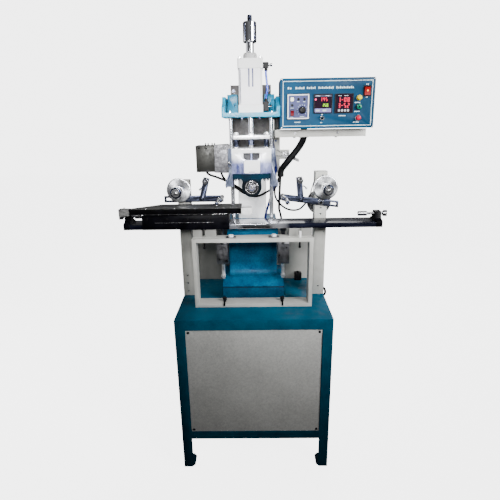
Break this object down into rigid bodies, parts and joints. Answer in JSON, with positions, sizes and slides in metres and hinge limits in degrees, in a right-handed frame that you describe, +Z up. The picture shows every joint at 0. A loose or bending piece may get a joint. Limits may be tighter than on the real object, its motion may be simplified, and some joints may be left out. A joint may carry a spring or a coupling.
{
  "type": "hot foil stamper",
  "caption": "Floor-standing pneumatic press that lowers a heated silicone roller on a sliding work table, with foil reels on side posts, a control panel and a steel cabinet",
  "frame": {"origin": "on the floor under the middle of the machine's overall box", "axes": "X from the operator's left to right along the slide rail, Y from front to back, Z up"},
  "size_m": [1.07, 0.48, 1.769],
  "materials": {
    "teal_paint": "hammered gloss paint",
    "bright_teal_paint": "hammered gloss paint",
    "cream_paint": "satin paint",
    "speckled_paint": "fine speckled satin paint",
    "blue_paint": "satin paint",
    "navy_paint": "satin paint over cast iron",
    "polished_steel": "polished",
    "machined_steel": "turned",
    "grey_steel": "dull grey, mottled",
    "black_steel": "black finish with bright wear",
    "blued_steel": "blued",
    "bright_aluminium": "bright machined",
    "silicone": "smooth heat-proof silicone",
    "black_plastic": "moulded",
    "belt_rubber": "ribbed belt",
    "cable_sheath": "flexible sheath",
    "air_tube_plastic": "clear-coated flexible tube",
    "yellow_plastic": "moulded",
    "green_plastic": "moulded",
    "red_plastic": "moulded",
    "lit_red_plastic": "moulded, lit from inside"
  },
  "bodies": {
    "machine": {"cabinet_frame": "teal_paint", "rear_cover": "teal_paint", "bed_casting": "teal_paint", "cylinder_bracket": "bright_teal_paint", "box_frame": "cream_paint", "back_sheet": "cream_paint", "press_column": "cream_paint", "left_post": "cream_paint", "right_post": "cream_paint", "panel_stand": "cream_paint", "front_panel": "speckled_paint", "panel_box": "blue_paint", "panel_face": "blue_paint", "dial_instrument": "blue_paint", "slide_rail": "polished_steel", "left_guide_rod": "polished_steel", "right_guide_rod": "polished_steel", "left_bed_clamp": "grey_steel", "right_bed_clamp": "grey_steel", "rewind_motor": "grey_steel", "junction_box": "grey_steel", "left_rail_bracket": "black_steel", "right_rail_bracket": "black_steel", "cylinder_body": "bright_aluminium", "switch_box": "black_plastic", "temperature_controller": "black_plastic", "timer_unit": "black_plastic", "rewind_belt": "belt_rubber", "wiring_loom": "cable_sheath", "cylinder_air_line": "air_tube_plastic", "supply_air_tube": "air_tube_plastic"},
    "press_head": {"piston_rod": "polished_steel", "cross_plate": "bright_aluminium", "head_block": "bright_aluminium", "front_bearing": "navy_paint", "rear_bearing": "navy_paint"},
    "roller": {"roller_shaft": "machined_steel", "roller_sleeve": "silicone"},
    "stroke_nut": {"stroke_nut": "polished_steel"},
    "table": {"table_saddle": "black_steel", "table_plate": "black_steel"},
    "left_reel": {"left_foil_reel": "bright_aluminium"},
    "right_reel": {"right_foil_reel": "bright_aluminium"},
    "motor_pulley": {"motor_pulley": "machined_steel"},
    "left_arm": {"left_foil_arm": "blued_steel"},
    "right_arm": {"right_foil_arm": "blued_steel"},
    "left_upright": {"left_upright_arm": "blued_steel"},
    "right_upright": {"right_upright_arm": "blued_steel"},
    "left_roller": {"left_tip_roller": "polished_steel"},
    "right_roller": {"right_tip_roller": "polished_steel"},
    "left_stop": {"left_stop_screw": "machined_steel"},
    "right_stop": {"right_stop_screw": "machined_steel"},
    "yellow_button": {"yellow_button": "yellow_plastic"},
    "green_button": {"green_button": "green_plastic"},
    "red_button": {"red_button": "red_plastic"},
    "mains_rocker": {"mains_rocker": "lit_red_plastic"},
    "small_rocker": {"small_rocker": "red_plastic"},
    "toggle": {"toggle_switch": "polished_steel"},
    "dial": {"dial_knob": "black_plastic"},
    "lever": {"clamp_lever": "machined_steel"}
  },
  "joints": [
    {"name": "press_slide", "type": "slide", "parent": "machine", "child": "press_head", "axis": [0, 0, -1], "range_m": [0, 0.033]},
    {"name": "roller_spin", "type": "hinge", "parent": "press_head", "child": "roller", "pos_m": [0, -0.048, 1.176], "axis": [0, 1, 0], "continuous": true},
    {"name": "stroke_nut_turn", "type": "hinge", "parent": "press_head", "child": "stroke_nut", "pos_m": [0, -0.045, 1.714], "axis": [0, 0, 1], "continuous": true},
    {"name": "table_slide", "type": "slide", "parent": "machine", "child": "table", "axis": [1, 0, 0], "range_m": [-0.014, 0.509]},
    {"name": "left_reel_spin", "type": "hinge", "parent": "machine", "child": "left_reel", "pos_m": [-0.295, 0, 1.153], "axis": [0, 1, 0], "continuous": true},
    {"name": "right_reel_spin", "type": "hinge", "parent": "machine", "child": "right_reel", "pos_m": [0.295, 0, 1.156], "axis": [0, 1, 0], "continuous": true},
    {"name": "motor_pulley_spin", "type": "hinge", "parent": "machine", "child": "motor_pulley", "pos_m": [0.252, 0.07, 1.086], "axis": [0, 1, 0], "continuous": true},
    {"name": "left_arm_tilt", "type": "hinge", "parent": "machine", "child": "left_arm", "pos_m": [-0.28, 0, 1.116], "axis": [0, -1, 0], "range_deg": [-1, 8]},
    {"name": "right_arm_tilt", "type": "hinge", "parent": "machine", "child": "right_arm", "pos_m": [0.279, 0, 1.096], "axis": [0, 1, 0], "range_deg": [-1, 8]},
    {"name": "left_upright_tilt", "type": "hinge", "parent": "left_arm", "child": "left_upright", "pos_m": [-0.203, 0, 1.116], "axis": [0, 1, 0], "range_deg": [-20, 20]},
    {"name": "right_upright_tilt", "type": "hinge", "parent": "right_arm", "child": "right_upright", "pos_m": [0.197, 0, 1.10767], "axis": [0, 1, 0], "range_deg": [-20, 20]},
    {"name": "left_roller_spin", "type": "hinge", "parent": "left_upright", "child": "left_roller", "pos_m": [-0.184, -0.02, 1.191], "axis": [0, 1, 0], "continuous": true},
    {"name": "right_roller_spin", "type": "hinge", "parent": "right_upright", "child": "right_roller", "pos_m": [0.189, -0.02, 1.189], "axis": [0, 1, 0], "continuous": true},
    {"name": "left_stop_travel", "type": "slide", "parent": "machine", "child": "left_stop", "axis": [-1, 0, 0], "range_m": [0, 0.012]},
    {"name": "right_stop_travel", "type": "slide", "parent": "machine", "child": "right_stop", "axis": [1, 0, 0], "range_m": [0, 0.012]},
    {"name": "yellow_button_press", "type": "slide", "parent": "machine", "child": "yellow_button", "axis": [0, 1, 0], "range_m": [0, 0.003], "stiffness_N_per_m": 300},
    {"name": "green_button_press", "type": "slide", "parent": "machine", "child": "green_button", "axis": [0, 1, 0], "range_m": [0, 0.003], "stiffness_N_per_m": 300},
    {"name": "red_button_press", "type": "slide", "parent": "machine", "child": "red_button", "axis": [0, 1, 0], "range_m": [0, 0.003], "stiffness_N_per_m": 300},
    {"name": "mains_rocker_tilt", "type": "hinge", "parent": "machine", "child": "mains_rocker", "pos_m": [0.419, -0.078, 1.511], "axis": [1, 0, 0], "range_deg": [-14, 0]},
    {"name": "small_rocker_tilt", "type": "hinge", "parent": "machine", "child": "small_rocker", "pos_m": [0.1505, -0.081, 1.4395], "axis": [1, 0, 0], "range_deg": [-14, 0]},
    {"name": "toggle_tilt", "type": "hinge", "parent": "machine", "child": "toggle", "pos_m": [0.26, -0.077, 1.42], "axis": [1, 0, 0], "range_deg": [0, 24]},
    {"name": "dial_turn", "type": "hinge", "parent": "machine", "child": "dial", "pos_m": [0.187, -0.08, 1.449], "axis": [0, 1, 0], "range_deg": [-150, 150]},
    {"name": "lever_turn", "type": "hinge", "parent": "machine", "child": "lever", "pos_m": [0.142, 0.1, 1.281], "axis": [0, 1, 0], "range_deg": [-30, 30]}
  ],
  "couplings": [
    {"joint": "motor_pulley_spin", "follows": "right_reel_spin", "ratio": 2.7143}
  ]
}
